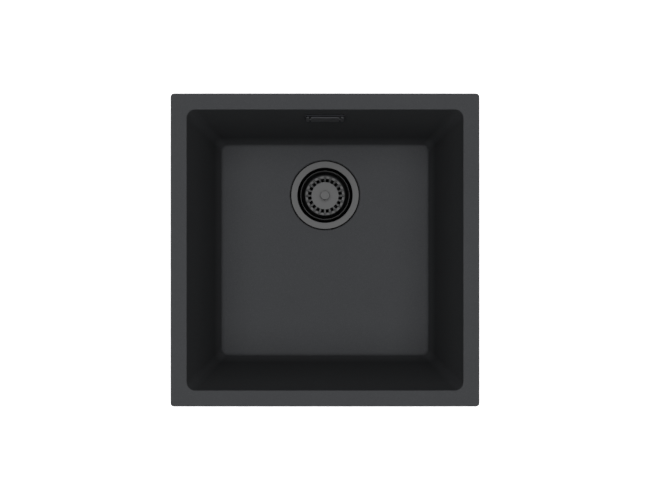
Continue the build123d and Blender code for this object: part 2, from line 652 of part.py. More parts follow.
# Clip-on cover: standing off the frame on pads, with open notches near both ends
with BuildPart() as overflow_cover:
    with BuildSketch(overflow_plane.offset(cover_back)):
        RectangleRounded(
            FRAME_WIDTH - 2 * COVER_INSET, FRAME_HEIGHT - 2 * COVER_INSET, FRAME_CORNER_RADIUS
        )
        with GridLocations(2 * NOTCH_CENTRE, FRAME_HEIGHT - 2 * COVER_INSET, 2, 2):
            SlotOverall(2 * NOTCH_DEPTH, NOTCH_WIDTH, rotation=90, mode=Mode.SUBTRACT)
    extrude(amount=COVER_THICKNESS)
    cover_face = overflow_cover.faces().sort_by(Axis(overflow_centre, wall_normal))[-1]
    fillet(cover_face.edges(), COVER_EDGE_ROUND)
    leg_height = sleeve_bore_height - COVER_LEG_THICKNESS - 2 * COVER_LEG_CLEARANCE
    with BuildSketch(overflow_plane.offset(cover_back)):
        with GridLocations(2 * COVER_LEG_CENTRE, leg_height, 2, 2):
            Rectangle(COVER_LEG_WIDTH, COVER_LEG_THICKNESS)
    extrude(amount=-COVER_LEG_LENGTH)
    pad_across = FRAME_WIDTH - 2 * (COVER_INSET + COVER_PAD_INSET)
    pad_along = FRAME_HEIGHT - 2 * (COVER_INSET + COVER_PAD_INSET)
    with BuildSketch(overflow_plane.offset(cover_back)):
        with GridLocations(pad_across, pad_along, 2, 2):
            Circle(COVER_PAD_RADIUS)
    extrude(amount=-COVER_STANDOFF + COVER_REST_GAP)

# Screw through the frame's bar into the rear housing
with BuildPart() as overflow_screw:
    with BuildSketch(overflow_plane.offset(frame_front)):
        Circle(OVERFLOW_SCREW_RADIUS)
    extrude(amount=-OVERFLOW_SCREW_LENGTH)
    head_height = OVERFLOW_SCREW_HEAD_RADIUS - OVERFLOW_SCREW_RADIUS
    with BuildSketch(overflow_plane.offset(frame_front)):
        Circle(OVERFLOW_SCREW_HEAD_RADIUS)
    with BuildSketch(overflow_plane.offset(frame_front - head_height)):
        Circle(OVERFLOW_SCREW_RADIUS)
    loft(ruled=True)
    with BuildSketch(overflow_plane.offset(frame_front)):
        RegularPolygon(OVERFLOW_DRIVE_RADIUS, 6)
    extrude(amount=-OVERFLOW_DRIVE_DEPTH, mode=Mode.SUBTRACT)


def elbow_outline(inset):
    """Side outline of the rear housing: shallow at the top, deep enough for the nozzle below."""
    back = -nozzle_setback - PIPE_BORE - ELBOW_WALL + inset
    return (
        (elbow_front + inset, ELBOW_TOP - inset),
        (elbow_front - ELBOW_TOP_DEPTH, ELBOW_TOP - inset),
        (back, ELBOW_SHOULDER - inset),
        (back, -ELBOW_BOTTOM + inset),
        (elbow_front + inset, -ELBOW_BOTTOM + inset),
    )


post_bore_depth = OVERFLOW_SCREW_LENGTH + OVERFLOW_SCREW_TIP_GAP - (frame_front - elbow_front)

# Rear housing of the overflow: flange, sloped hollow body, screw post and threaded nozzle
with BuildPart() as overflow_elbow:
    with BuildSketch(overflow_side):
        with BuildLine():
            Polyline(*elbow_outline(0), close=True)
        make_face()
    extrude(amount=ELBOW_WIDTH / 2, both=True)
    housing_back = overflow_elbow.edges().filter_by(
        lambda edge: overflow_plane.to_local_coords(edge.center()).Z < elbow_front - FIT_GAP
    )
    fillet(housing_back, ELBOW_EDGE_ROUND)
    with BuildSketch(overflow_plane.offset(elbow_front)):
        RectangleRounded(ELBOW_FLANGE_WIDTH, ELBOW_FLANGE_HEIGHT, ELBOW_FLANGE_RADIUS)
    extrude(amount=-ELBOW_FLANGE_THICKNESS)
    with BuildSketch(upper_mouth):
        Circle(UNION_THREAD_RADIUS)
    extrude(amount=-nozzle_length - ELBOW_WALL / 2)
    with BuildSketch(overflow_side):
        with BuildLine():
            Polyline(*elbow_outline(ELBOW_WALL), close=True)
        make_face()
    extrude(amount=ELBOW_WIDTH / 2 - ELBOW_WALL, both=True, mode=Mode.SUBTRACT)
    with BuildSketch(upper_mouth):
        Circle(PIPE_BORE)
    extrude(amount=-nozzle_length - ELBOW_WALL * 2, mode=Mode.SUBTRACT)
    with BuildSketch(overflow_plane.offset(elbow_front - SLEEVE_END_GAP)):
        Circle(ELBOW_POST_RADIUS)
    extrude(until=Until.NEXT, dir=tuple(-part for part in wall_normal))
    with Locations(overflow_plane.offset(elbow_front)):
        Hole(OVERFLOW_SCREW_RADIUS + FIT_GAP, depth=post_bore_depth)


def union_seal(mouth):
    """Flat seal on the mouth of a threaded nozzle."""
    with BuildPart() as seal:
        with BuildSketch(mouth):
            Circle(PIPE_COLLAR_RADIUS - UNION_SEAL_INSET)
            Circle(PIPE_BORE + UNION_SEAL_INSET, mode=Mode.SUBTRACT)
        extrude(amount=UNION_SEAL_THICKNESS)
    return seal.part


def union_nut(mouth):
    """Fluted union nut that holds the pipe's collar against the mouth of a nozzle."""
    lip_start = UNION_SEAL_THICKNESS + PIPE_COLLAR_THICKNESS
    with BuildPart() as nut:
        with BuildSketch(mouth.offset(-UNION_NUT_GRIP)):
            Circle(UNION_NUT_RADIUS)
            with PolarLocations(UNION_NUT_RADIUS, UNION_FLUTE_COUNT):
                Circle(UNION_FLUTE_RADIUS, mode=Mode.SUBTRACT)
        extrude(amount=UNION_NUT_GRIP + lip_start)
        with BuildSketch(mouth.offset(lip_start)):
            Circle(UNION_NUT_RADIUS)
        extrude(amount=UNION_NUT_LIP)
        lip_face = nut.faces().sort_by(Axis(mouth.origin, mouth.z_dir))[-1]
        chamfer(lip_face.edges(), UNION_NUT_CHAMFER)
        with BuildSketch(mouth.offset(-UNION_NUT_GRIP)):
            Circle(UNION_THREAD_RADIUS + UNION_NUT_CLEARANCE)
        extrude(amount=UNION_NUT_GRIP + lip_start, mode=Mode.SUBTRACT)
        with BuildSketch(mouth.offset(lip_start)):
            Circle(PIPE_CUFF_RADIUS + UNION_LIP_CLEARANCE)
        extrude(amount=UNION_NUT_LIP, mode=Mode.SUBTRACT)
    return nut.part


# Corrugated overflow pipe: down behind the bowl, one bend, forward to the waste body
pipe_start = upper_mouth.origin + upper_mouth.z_dir * UNION_SEAL_THICKNESS
pipe_end = lower_mouth.origin + lower_mouth.z_dir * UNION_SEAL_THICKNESS
pipe_drop = pipe_start.Z - pipe_end.Z
pipe_corner = Vector(0, pipe_start.Y - pipe_drop * tan(draft), pipe_end.Z)
bend_tangent = pipe_corner.Y - pipe_end.Y - PIPE_COLLAR_THICKNESS - PIPE_CUFF_LENGTH
bend_radius = bend_tangent / tan((radians(90) - draft) / 2)
with BuildLine() as pipe_path:
    FilletPolyline(pipe_start, pipe_corner, pipe_end, radius=bend_radius)
pipe_wire = pipe_path.wire()
pipe_length = pipe_wire.length


def pipe_plane(distance):
    """Plane square to the pipe at a distance along it."""
    return Plane(
        pipe_wire.position_at(distance, position_mode=PositionMode.LENGTH),
        x_dir=(1, 0, 0),
        z_dir=pipe_wire.tangent_at(distance, position_mode=PositionMode.LENGTH),
    )


plain_end = PIPE_COLLAR_THICKNESS + PIPE_CUFF_LENGTH
rib_count = floor((pipe_length - 2 * plain_end) / PIPE_RIB_PITCH)
rib_start = (pipe_length - rib_count * PIPE_RIB_PITCH) / 2
sections = [(0, PIPE_CUFF_RADIUS), (rib_start - PIPE_RIB_PITCH / 4, PIPE_CUFF_RADIUS)]
for rib in range(rib_count):
    near = rib_start + rib * PIPE_RIB_PITCH
    sections.append((near, PIPE_VALLEY_RADIUS))
    sections.append((near + PIPE_RIB_PITCH / 4, PIPE_CREST_RADIUS))
    sections.append((near + PIPE_RIB_PITCH / 2, PIPE_CREST_RADIUS))
    sections.append((near + PIPE_RIB_PITCH * 3 / 4, PIPE_VALLEY_RADIUS))
sections.append((pipe_length - rib_start, PIPE_CUFF_RADIUS))
sections.append((pipe_length, PIPE_CUFF_RADIUS))
with BuildPart() as overflow_hose:
    for distance, radius in sections:
        with BuildSketch(pipe_plane(distance)):
            Circle(radius)
    loft(ruled=True)
    for end_plane in (pipe_plane(0), pipe_plane(pipe_length - PIPE_COLLAR_THICKNESS)):
        with BuildSketch(end_plane):
            Circle(PIPE_COLLAR_RADIUS)
        extrude(amount=PIPE_COLLAR_THICKNESS)
    with BuildSketch(pipe_plane(0)):
        Circle(PIPE_BORE)
    sweep(path=pipe_wire, mode=Mode.SUBTRACT)
print(f"overflow pipe: {pipe_length:.1f} long, {rib_count} ribs, bend radius {bend_radius:.1f}")

pieces = {
    "sink_bowl": sink_bowl.part,
    "strainer_cup": strainer_cup.part,
    "strainer_gasket": strainer_gasket.part,
    "body_gasket": body_gasket.part,
    "waste_body": waste_body.part,
    "outlet_funnel": outlet_funnel.part,
    "clamp_screw": clamp_screw.part,
    "clamp_washer": clamp_washer.part,
    "clamp_nut": clamp_nut.part,
    "basket": basket.part,
    "basket_seal": basket_seal.part,
    "basket_knob": basket_knob.part,
    "basket_stem": basket_stem.part,
    "stem_ring": stem_ring.part,
    "overflow_front_gasket": overflow_front_gasket.part,
    "overflow_rear_gasket": overflow_rear_gasket.part,
    "overflow_frame": overflow_frame.part,
    "overflow_cover": overflow_cover.part,
    "overflow_screw": overflow_screw.part,
    "overflow_elbow": overflow_elbow.part,
    "overflow_hose": overflow_hose.part,
    "hose_seal_upper": union_seal(upper_mouth),
    "hose_seal_lower": union_seal(lower_mouth),
    "hose_nut_upper": union_nut(upper_mouth),
    "hose_nut_lower": union_nut(lower_mouth),
}
os.makedirs("parts", exist_ok=True)
for name, piece in pieces.items():
    piece.label = name
    export_step(piece, f"parts/{name}.step")
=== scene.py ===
# %% [markdown]
# # An undermount kitchen sink in quartz composite
#
# The CAD model of this sink is a set of exact solids: a moulded bowl, a basket strainer waste
# and a concealed overflow. This lesson gives them their finishes and their light, and adds
# the few forms that are easier to make as meshes. Lengths are in metres. The top of the rim
# lies at z = 0, the drain and the overflow lie towards +Y, and no solid is moved.

# %% Load the solids
import math

import bpy
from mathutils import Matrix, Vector


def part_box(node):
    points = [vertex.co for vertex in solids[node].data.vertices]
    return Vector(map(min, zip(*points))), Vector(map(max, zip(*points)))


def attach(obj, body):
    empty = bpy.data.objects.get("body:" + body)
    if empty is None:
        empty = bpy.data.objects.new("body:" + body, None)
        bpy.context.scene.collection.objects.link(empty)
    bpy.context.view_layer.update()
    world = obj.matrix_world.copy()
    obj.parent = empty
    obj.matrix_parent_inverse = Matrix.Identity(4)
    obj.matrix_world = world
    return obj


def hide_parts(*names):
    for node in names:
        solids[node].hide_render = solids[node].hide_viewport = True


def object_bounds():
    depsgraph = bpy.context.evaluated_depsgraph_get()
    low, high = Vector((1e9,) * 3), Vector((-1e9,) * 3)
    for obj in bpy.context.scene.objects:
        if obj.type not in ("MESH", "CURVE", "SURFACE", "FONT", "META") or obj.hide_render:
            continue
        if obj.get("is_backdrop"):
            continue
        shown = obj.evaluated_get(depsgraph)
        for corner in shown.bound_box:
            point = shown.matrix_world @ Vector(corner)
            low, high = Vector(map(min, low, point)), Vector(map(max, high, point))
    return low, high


MM = 0.001
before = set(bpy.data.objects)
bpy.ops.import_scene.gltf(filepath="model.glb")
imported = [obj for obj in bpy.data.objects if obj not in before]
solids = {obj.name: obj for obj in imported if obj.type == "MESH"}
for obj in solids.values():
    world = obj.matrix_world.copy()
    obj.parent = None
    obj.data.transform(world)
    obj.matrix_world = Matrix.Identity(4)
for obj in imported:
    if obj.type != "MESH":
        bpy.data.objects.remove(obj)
cad_low, cad_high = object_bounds()
print("solids:", len(solids), "box in mm:", [round(size / MM, 1) for size in cad_high - cad_low])

# %% [markdown]
# ## Camera
#
# The photograph looks straight down into the bowl. Its viewing distance can be worked out,
# because the rim and the floor are two rectangles of known size at two known depths: the ratio
# of their sizes in the image puts the camera 1.115 m above the rim. The width of the rim in
# the image then gives the lens.

# %% Camera above the bowl
CAMERA_HEIGHT = 1.115
SENSOR_WIDTH_MM = 36
LENS_MM = 43.4
NEAREST_SEEN = 0.01

camera_data = bpy.data.cameras.new("camera")
camera_data.sensor_width = SENSOR_WIDTH_MM
camera_data.lens = LENS_MM
camera_data.clip_start = NEAREST_SEEN
camera = bpy.data.objects.new("camera", camera_data)
camera.location = (0, 0, CAMERA_HEIGHT)
bpy.context.scene.collection.objects.link(camera)
bpy.context.scene.camera = camera
print("camera height:", CAMERA_HEIGHT, "lens in mm:", LENS_MM)

# %% [markdown]
# ## Helpers for node trees
#
# Every finish below is a small node tree. One function adds a node, sets its options and fills
# its inputs, either with a value or with the output of an earlier node. Colours are written as
# sRGB hex values, the way a paint card would give them, and one function turns them into the
# linear values that the shader works with.


# %% Colour and node helpers
def linear(hex_colour):
    """Linear RGBA of an sRGB hex colour."""
    channels = [int(hex_colour[i : i + 2], 16) / 255 for i in (1, 3, 5)]
    return [c / 12.92 if c <= 0.04045 else ((c + 0.055) / 1.055) ** 2.4 for c in channels] + [1]


def fill(tree, node, inputs):
    """Give each named input a value, or link it to the output socket of another node."""
    for socket, value in inputs.items():
        if isinstance(value, bpy.types.NodeSocket):
            tree.links.new(value, node.inputs[socket])
        else:
            node.inputs[socket].default_value = value


def add_node(tree, kind, inputs=None, **options):
    """Add a node with its options, and fill its inputs."""
    node = tree.nodes.new(kind)
    for name, option in options.items():
        setattr(node, name, option)
    fill(tree, node, inputs or {})
    return node


print("mid grey #808080 is", round(linear("#808080")[0], 3), "in linear light")

# %% [markdown]
# ## Studio light
#
# The rim and the floor of the bowl are evenly lit, and the foot of the walls falls to about a
# sixth of the rim's brightness. A bare dome of light would fill the walls too much, and a small
# lamp would draw hard shadows. One wide round softbox about two metres up gives an even floor
# and dark walls. Four low panels stand round the sink and light its outside. They end below
# the rim, so none of their light falls straight into the bowl.
#
# What is seen directly is white all round. Metal mirrors a white studio as well, with white
# walls, a dim ceiling and the white disc of the softbox in it. The Light Path node tells such
# rays from the ones that only carry light, so that the white studio adds no light to the
# object. The lamp itself is hidden from mirrors, because the studio already shows its disc.

# %% Softbox
SOFTBOX_HEIGHT = 1.9
SOFTBOX_WIDTH = 2.0
SOFTBOX_WATTS = 45.8

softbox_data = bpy.data.lights.new("softbox", "AREA")
softbox_data.shape = "DISK"
softbox_data.size = SOFTBOX_WIDTH
softbox_data.energy = SOFTBOX_WATTS
softbox = bpy.data.objects.new("softbox", softbox_data)
softbox.location = (0, 0, SOFTBOX_HEIGHT)
softbox.visible_camera = False
softbox.visible_glossy = False
bpy.context.scene.collection.objects.link(softbox)
print("softbox:", SOFTBOX_WATTS, "W over", SOFTBOX_WIDTH, "m")

# %% Low side panels
PANEL_COUNT = 4
PANEL_DISTANCE = 1.5
PANEL_WIDTH = 2.2
PANEL_TOP = -20 * MM
PANEL_WATTS = 7

panel_height = PANEL_TOP - cad_low.z
for side in range(PANEL_COUNT):
    panel_data = bpy.data.lights.new("side_panel", "AREA")
    panel_data.shape = "RECTANGLE"
    panel_data.size = PANEL_WIDTH
    panel_data.size_y = panel_height
    panel_data.energy = PANEL_WATTS
    panel = bpy.data.objects.new("side_panel", panel_data)
    turn = math.radians(360 / PANEL_COUNT * side)
    outward = Vector((math.sin(turn), -math.cos(turn), 0))
    panel.location = outward * PANEL_DISTANCE + Vector((0, 0, PANEL_TOP - panel_height / 2))
    panel.rotation_euler = (-outward).to_track_quat("-Z", "Y").to_euler()
    panel.visible_camera = False
    bpy.context.scene.collection.objects.link(panel)
print("side panels in mm:", round(PANEL_WIDTH / MM), "by", round(panel_height / MM))

# %% Studio that the metal mirrors
CEILING = 0.1
# Heights on the dome run from 0 at the horizon to 1 straight up.
WALL_TOP = 0.3
CEILING_FROM = 0.7
DISC_BLUR = 0.03

dome = bpy.data.worlds.new("dome")
dome.use_nodes = True
# The dome is dim, so it isn't sampled as a lamp.
dome.cycles.sampling_method = "NONE"
dome_tree = dome.node_tree
dome_tree.nodes.clear()
dome_place = add_node(dome_tree, "ShaderNodeTexCoord").outputs["Generated"]
dome_height = add_node(dome_tree, "ShaderNodeSeparateXYZ", {0: dome_place}).outputs[2]
studio_wall = add_node(
    dome_tree,
    "ShaderNodeMapRange",
    {
        "Value": dome_height,
        "From Min": WALL_TOP,
        "From Max": CEILING_FROM,
        "To Min": 1,
        "To Max": CEILING,
    },
    interpolation_type="SMOOTHSTEP",
)
disc_angle = math.atan(SOFTBOX_WIDTH / 2 / SOFTBOX_HEIGHT)
disc_edge = math.cos(disc_angle)
softbox_disc = add_node(
    dome_tree,
    "ShaderNodeMapRange",
    {"Value": dome_height, "From Min": disc_edge - DISC_BLUR, "From Max": disc_edge + DISC_BLUR},
    interpolation_type="SMOOTHSTEP",
)
studio = add_node(
    dome_tree,
    "ShaderNodeMath",
    {0: studio_wall.outputs[0], 1: softbox_disc.outputs[0]},
    operation="MAXIMUM",
)
print("mirrored disc in degrees:", round(2 * math.degrees(disc_angle)), "ceiling:", CEILING)

# %% Dome
DOME_LIGHT = 0.03


def seen_directly(tree):
    """1 for camera, mirror and see-through rays, and 0 for rays that only carry light."""
    path = add_node(tree, "ShaderNodeLightPath").outputs
    seen = path["Is Camera Ray"]
    for ray in ("Is Glossy Ray", "Is Transmission Ray"):
        either = add_node(tree, "ShaderNodeMath", {0: seen, 1: path[ray]}, operation="MAXIMUM")
        seen = either.outputs[0]
    return seen


mirrored = add_node(dome_tree, "ShaderNodeLightPath").outputs["Is Glossy Ray"]
seen_studio = add_node(dome_tree, "ShaderNodeMix", {0: mirrored, 2: 1, 3: studio.outputs[0]})
dome_strength = add_node(
    dome_tree,
    "ShaderNodeMix",
    {0: seen_directly(dome_tree), 2: DOME_LIGHT, 3: seen_studio.outputs[0]},
)
dome_sky = add_node(
    dome_tree,
    "ShaderNodeBackground",
    {"Color": linear("#FFFFFF"), "Strength": dome_strength.outputs[0]},
)
add_node(dome_tree, "ShaderNodeOutputWorld", {"Surface": dome_sky.outputs[0]})
bpy.context.scene.world = dome
bpy.context.scene.view_settings.view_transform = "Standard"
print("dome light:", DOME_LIGHT)

# %% [markdown]
# ## Floor
#
# The floor is a pale sheet at the level of the outlet. It adds its own soft glow for the rays
# that are seen directly, so it reads as white where the softbox lights it and keeps the
# object's shadow. Further out the glow rises to full white, and the sheet melts into the
# studio behind it. From below the sheet is clear, so that the underside of the sink can be seen.

# %% Floor sheet
FLOOR_HALF = 12.0

floor_mesh = bpy.data.meshes.new("floor")
corners = [(-1, -1), (1, -1), (1, 1), (-1, 1)]
floor_mesh.from_pydata(
    [(x * FLOOR_HALF, y * FLOOR_HALF, cad_low.z) for x, y in corners], [], [(0, 1, 2, 3)]
)
floor = bpy.data.objects.new("floor", floor_mesh)
bpy.context.scene.collection.objects.link(floor)
floor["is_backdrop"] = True
print("floor level in mm:", round(cad_low.z / MM, 1))

# %% Studio paper
SHADOW_GLOW = 0.72
GLOW_RISES_FROM = 0.6
GLOW_FULL_AT = 1.8

paper = bpy.data.materials.new("studio paper")
paper.use_nodes = True
paper_tree = paper.node_tree
paper_tree.nodes.clear()
paper_place = add_node(paper_tree, "ShaderNodeTexCoord").outputs["Object"]
paper_reach = add_node(paper_tree, "ShaderNodeVectorMath", {0: paper_place}, operation="LENGTH")
paper_glow = add_node(
    paper_tree,
    "ShaderNodeMapRange",
    {
        "Value": paper_reach.outputs["Value"],
        "From Min": GLOW_RISES_FROM,
        "From Max": GLOW_FULL_AT,
        "To Min": SHADOW_GLOW,
        "To Max": 1,
    },
    interpolation_type="SMOOTHSTEP",
)
paper_strength = add_node(
    paper_tree,
    "ShaderNodeMath",
    {0: seen_directly(paper_tree), 1: paper_glow.outputs[0]},
    operation="MULTIPLY",
)
paper_white = add_node(paper_tree, "ShaderNodeBsdfDiffuse", {"Color": linear("#E8E8E8")})
paper_light = add_node(
    paper_tree, "ShaderNodeEmission", {"Strength": paper_strength.outputs[0]}
)
paper_sum = add_node(
    paper_tree, "ShaderNodeAddShader", {0: paper_white.outputs[0], 1: paper_light.outputs[0]}
)
paper_below = add_node(paper_tree, "ShaderNodeNewGeometry").outputs["Backfacing"]
paper_clear = add_node(paper_tree, "ShaderNodeBsdfTransparent")
paper_sheet = add_node(
    paper_tree,
    "ShaderNodeMixShader",
    {0: paper_below, 1: paper_sum.outputs[0], 2: paper_clear.outputs[0]},
)
add_node(paper_tree, "ShaderNodeOutputMaterial", {"Surface": paper_sheet.outputs[0]})
floor_mesh.materials.append(paper)
print("paper glow in shadow:", SHADOW_GLOW)

# %% [markdown]
# ## Quartz composite
#
# The bowl is moulded from quartz sand bound with acrylic resin. The sand gives a matt skin
# with a fine grain: mostly dark grey, with a few grains a shade lighter or darker. A Voronoi
# texture is a good stand-in for packed grains, because each of its cells keeps one random
# value. The real grains are about 0.3 mm wide and would vanish in the render, so they are
# drawn at 0.9 mm. A slow noise adds the faint clouds that a casting shows. The gloss is set
# very low, to match the flat greys of the photograph.
#
# The walls in the photograph are darker than this studio's light alone makes them. They are
# darkest at about three quarters of their depth, and below that they fade into the floor.
# That darkness is shade where the walls turn away from the light above, and here it is painted
# into the colour: a painted shade on the steep faces, which also darkens the rounded edges of
# the rim a little. Whether that is a smoother finish or only less light can't be told from one
# photograph, so a darker skin stands in for it. The upward part of the normal tells walls from
# flats, and the height gives the two fades.
#
# The outside of such a bowl is usually left as it leaves the mould: rougher and a little dusty.
# The shader finds it without any map. A face of the inside looks towards the middle of the
# opening, which is the origin, and a face of the outside looks away from it. The product of
# place and normal tells the two apart, and the finished edge of the rim is left out by its
# height.


# %% Start of a finish
def new_finish(name):
    """A new material with its tree, its principled shader and object coordinates."""
    material = bpy.data.materials.new(name)
    material.use_nodes = True
    tree = material.node_tree
    tree.nodes.clear()
    shader = add_node(tree, "ShaderNodeBsdfPrincipled")
    add_node(tree, "ShaderNodeOutputMaterial", {"Surface": shader.outputs[0]})
    place = add_node(tree, "ShaderNodeTexCoord").outputs["Object"]
    return material, tree, shader, place


composite, tree, shader, place = new_finish("quartz composite, moulded matt")
print("finish begun:", composite.name)

# %% Composite: grains and clouds
GRAIN = 0.9 * MM
DARK_GRAINS = 0.12
LIGHT_GRAINS_FROM = 0.9
CLOUD = 70 * MM
CLOUD_SHARE = 0.16

grains = add_node(tree, "ShaderNodeTexVoronoi", {"Vector": place, "Scale": 1 / GRAIN})
grain_shade = add_node(tree, "ShaderNodeSeparateColor", {0: grains.outputs["Color"]}).outputs[0]
grain_ramp = add_node(tree, "ShaderNodeValToRGB", {0: grain_shade})
grain_ramp.color_ramp.interpolation = "CONSTANT"
grain_ramp.color_ramp.elements[0].color = linear("#3F4042")
grain_ramp.color_ramp.elements[1].position = DARK_GRAINS
grain_ramp.color_ramp.elements[1].color = linear("#424345")
light_grain = grain_ramp.color_ramp.elements.new(LIGHT_GRAINS_FROM)
light_grain.color = linear("#464749")
grain_colour = grain_ramp.outputs[0]
clouds = add_node(
    tree,
    "ShaderNodeTexNoise",
    {"Vector": place, "Scale": 1 / CLOUD, "Detail": 3, "Roughness": 0.6},
)
cloud_share = add_node(
    tree,
    "ShaderNodeMapRange",
    {"Value": clouds.outputs[0], "From Min": 0.3, "From Max": 0.7, "To Max": CLOUD_SHARE},
)
sanded_colour = add_node(
    tree,
    "ShaderNodeMix",
    {0: cloud_share.outputs[0], 6: grain_colour, 7: linear("#494B4C")},
    data_type="RGBA",
)
print("composite grain in mm:", GRAIN / MM, "clouds in mm:", round(CLOUD / MM))

# %% Composite: painted shade on the walls
WALL_FOOT = -181 * MM
WALL_DARKEST = -150 * MM
WALL_LIGHTEST = -40 * MM
DARKEST_SHARE = 0.5
LIGHTEST_SHARE = 0.2
# Upward part of the normal: up to the first a face counts as wall, from the second as flat.
WALL_LOOKS_UP = 0.1
FLAT_LOOKS_UP = 0.75

facing = add_node(tree, "ShaderNodeNewGeometry").outputs["Normal"]
upward = add_node(tree, "ShaderNodeSeparateXYZ", {0: facing}).outputs[2]
height = add_node(tree, "ShaderNodeSeparateXYZ", {0: place}).outputs[2]
steep = add_node(
    tree,
    "ShaderNodeMapRange",
    {
        "Value": upward,
        "From Min": WALL_LOOKS_UP,
        "From Max": FLAT_LOOKS_UP,
        "To Min": 1,
        "To Max": 0,
    },
)
depth_shade = add_node(
    tree,
    "ShaderNodeMapRange",
    {
        "Value": height,
        "From Min": WALL_DARKEST,
        "From Max": WALL_LIGHTEST,
        "To Min": DARKEST_SHARE,
        "To Max": LIGHTEST_SHARE,
    },
)
above_foot = add_node(
    tree,
    "ShaderNodeMapRange",
    {"Value": height, "From Min": WALL_FOOT, "From Max": WALL_DARKEST},
)
steep_shade = add_node(
    tree,
    "ShaderNodeMath",
    {0: steep.outputs[0], 1: depth_shade.outputs[0]},
    operation="MULTIPLY",
)
painted_wall_shade = add_node(
    tree,
    "ShaderNodeMath",
    {0: steep_shade.outputs[0], 1: above_foot.outputs[0]},
    operation="MULTIPLY",
)
# Painted shade: the dark #1E1F20 is mixed into the walls by steepness and depth.
inside_colour_with_painted_shade = add_node(
    tree,
    "ShaderNodeMix",
    {0: painted_wall_shade.outputs[0], 6: sanded_colour.outputs[2], 7: linear("#1E1F20")},
    data_type="RGBA",
)
print("walls darkest at mm:", round(WALL_DARKEST / MM), "foot at mm:", round(WALL_FOOT / MM))

# %% Composite: outside
RIM_EDGE = -9 * MM
LOOKS_AWAY = 5 * MM
DUST = 40 * MM

away = add_node(tree, "ShaderNodeVectorMath", {0: place, 1: facing}, operation="DOT_PRODUCT")
looks_out = add_node(
    tree, "ShaderNodeMath", {0: away.outputs["Value"], 1: LOOKS_AWAY}, operation="GREATER_THAN"
)
below_rim = add_node(tree, "ShaderNodeMath", {0: height, 1: RIM_EDGE}, operation="LESS_THAN")
outside = add_node(
    tree,
    "ShaderNodeMath",
    {0: looks_out.outputs[0], 1: below_rim.outputs[0]},
    operation="MULTIPLY",
).outputs[0]
dust = add_node(
    tree,
    "ShaderNodeTexNoise",
    {"Vector": place, "Scale": 1 / DUST, "Detail": 8, "Roughness": 0.75},
)
dust_share = add_node(
    tree,
    "ShaderNodeMapRange",
    {
        "Value": dust.outputs[0],
        "From Min": 0.35,
        "From Max": 0.75,
        "To Min": 0.35,
        "To Max": 0.65,
    },
)
outside_colour = add_node(
    tree,
    "ShaderNodeMix",
    {0: dust_share.outputs[0], 6: grain_colour, 7: linear("#606265")},
    data_type="RGBA",
)
print("outside starts below mm:", round(RIM_EDGE / MM), "dust patches in mm:", round(DUST / MM))

# %% Composite: skin
SKIN_GRAIN = 1.1 * MM
INSIDE_RELIEF = 0.02 * MM
OUTSIDE_RELIEF = 0.1 * MM
INSIDE_ROUGHNESS = 0.78
OUTSIDE_ROUGHNESS = 0.9

skin = add_node(
    tree,
    "ShaderNodeTexNoise",
    {"Vector": place, "Scale": 1 / SKIN_GRAIN, "Detail": 3, "Roughness": 0.6},
)
relief = add_node(
    tree,
    "ShaderNodeMapRange",
    {"Value": outside, "To Min": INSIDE_RELIEF, "To Max": OUTSIDE_RELIEF},
)
bump = add_node(
    tree,
    "ShaderNodeBump",
    {"Height": skin.outputs[0], "Distance": relief.outputs[0], "Strength": 0.5},
)
matt = add_node(
    tree,
    "ShaderNodeMapRange",
    {"Value": outside, "To Min": INSIDE_ROUGHNESS, "To Max": OUTSIDE_ROUGHNESS},
)
skin_colour = add_node(
    tree,
    "ShaderNodeMix",
    {0: outside, 6: inside_colour_with_painted_shade.outputs[2], 7: outside_colour.outputs[2]},
    data_type="RGBA",
)
fill(
    tree,
    shader,
    {
        "Base Color": skin_colour.outputs[2],
        "Roughness": matt.outputs[0],
        "Specular IOR Level": 0.008,
        "IOR": 1.5,
        "Normal": bump.outputs[0],
    },
)
print("composite nodes:", len(tree.nodes))

# %% [markdown]
# ## Coated steel of the strainer
#
# The strainer is a pressing in stainless steel with a dark satin look, such as a vapour coating
# over brushed metal gives. The coating keeps the metal's reflection but takes most of its
# brightness. The brushing runs in rings round the drain, so its pattern depends only on the
# distance from the drain axis, plus a little of the height so that upright walls get rings as
# well. The real lines are some 0.1 mm apart. They are drawn at 0.7 mm so that they show.
#
# Here the brushing is kept to the faces that look straight up: the flange, the disc and the tops
# of the petals. They are satin, and their colour is also painted a shade lighter, a painted
# light on the faces that look up to the softbox; the bends and the drawn walls are smoother and
# painted darker. That was chosen to match the tones of the photograph. The upward part of the
# normal tells the two apart.

# %% Rings round the drain
DRAIN_AXIS = (0, 92 * MM, 0)
HEIGHT_SHARE = 0.8


def ring_lines(tree, place, centre, spacing):
    """Noise in rings round an upright axis, from 0 to 1."""
    arm = add_node(tree, "ShaderNodeVectorMath", {0: place, 1: centre}, operation="SUBTRACT")
    flat = add_node(
        tree, "ShaderNodeVectorMath", {0: arm.outputs[0], 1: (1, 1, 0)}, operation="MULTIPLY"
    )
    reach = add_node(tree, "ShaderNodeVectorMath", {0: flat.outputs[0]}, operation="LENGTH")
    height = add_node(tree, "ShaderNodeSeparateXYZ", {0: place}).outputs[2]
    along = add_node(
        tree,
        "ShaderNodeMath",
        {0: height, 1: HEIGHT_SHARE, 2: reach.outputs["Value"]},
        operation="MULTIPLY_ADD",
    )
    lines = add_node(
        tree,
        "ShaderNodeTexNoise",
        {"W": along.outputs[0], "Scale": 1 / spacing, "Detail": 4, "Roughness": 0.7},
        noise_dimensions="1D",
    )
    return lines.outputs[0]


print("drain axis in mm:", [round(part / MM, 1) for part in DRAIN_AXIS])

# %% Dark coated steel
BRUSH_SPACING = 0.7 * MM
RING_RELIEF = 0.01 * MM
SATIN = 0.45
SATIN_SPREAD = 0.1
SMOOTH = 0.33
BRUSHED_AND_LIT_LOOKS_UP = 0.95

